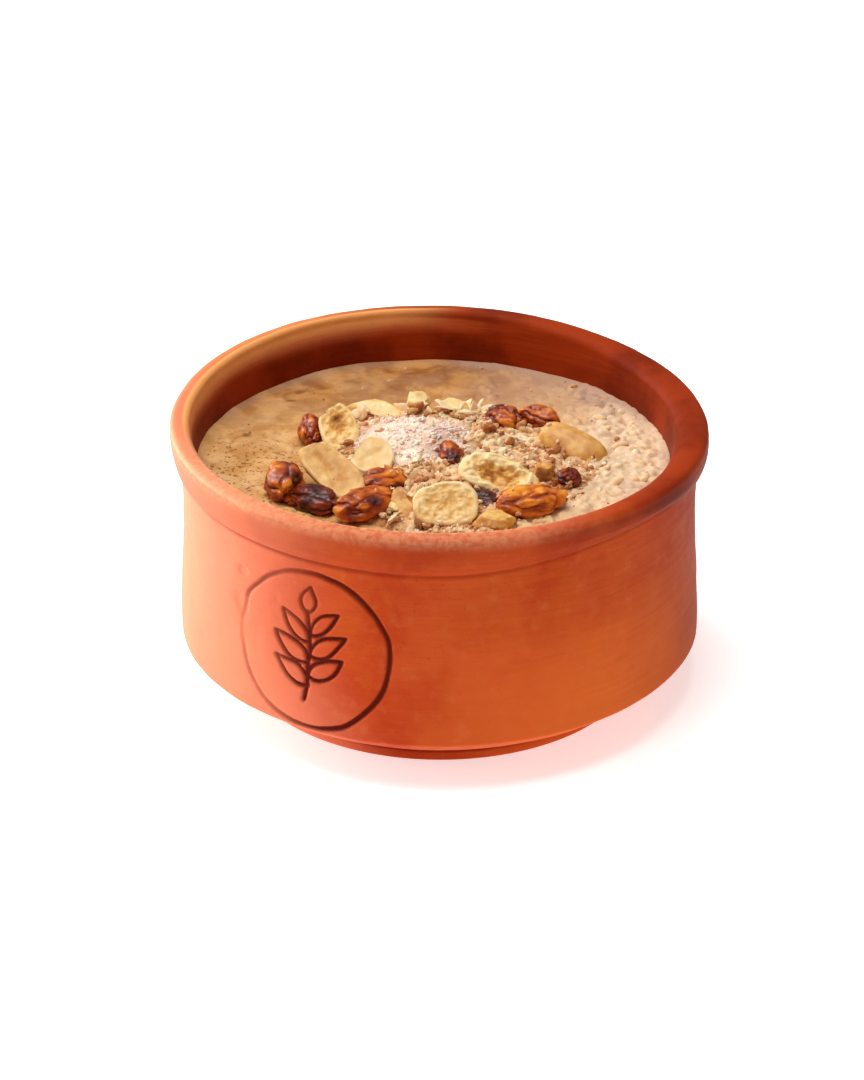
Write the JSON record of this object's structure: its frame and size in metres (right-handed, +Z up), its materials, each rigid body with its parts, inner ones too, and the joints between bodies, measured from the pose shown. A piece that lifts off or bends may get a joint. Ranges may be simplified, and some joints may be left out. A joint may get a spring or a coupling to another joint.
{
  "type": "rice pudding in a clay bowl",
  "caption": "Baked rice pudding in a small unglazed clay bowl with a rounded collar rim, topped with a low heap of peanut halves, raisins, crushed nuts and grated coconut.",
  "frame": {"origin": "on the surface that it stands on, under the middle of the rim", "axes": "+Z up along the bowl's axis; -Y is the side that the toppings lean towards, +X is to the right seen from there"},
  "size_m": [0.1096, 0.107, 0.0586],
  "materials": {
    "terracotta": "matte",
    "pudding": "satin",
    "crumbs": "matte",
    "peanut": "satin",
    "raisin": "gloss"
  },
  "bodies": {
    "root": {"clay_bowl": "terracotta", "crumb_heap": "crumbs", "nut_chip_back": "peanut", "nut_chip_far": "peanut", "nut_piece_front": "peanut", "nut_piece_low": "peanut", "nut_piece_small": "peanut", "nut_splinter_back": "peanut", "peanut_half_back": "peanut", "peanut_half_front": "peanut", "peanut_half_hollow": "peanut", "peanut_half_left": "peanut", "peanut_half_right": "peanut", "peanut_half_round": "peanut", "raisin_back_left": "raisin", "raisin_crown": "raisin", "raisin_dark": "raisin", "raisin_far": "raisin", "raisin_far_right": "raisin", "raisin_front_left": "raisin", "raisin_front_right": "raisin", "raisin_left": "raisin", "raisin_middle": "raisin", "raisin_right": "raisin", "raisin_under_left": "raisin", "rice_pudding": "pudding"}
  },
  "joints": []
}
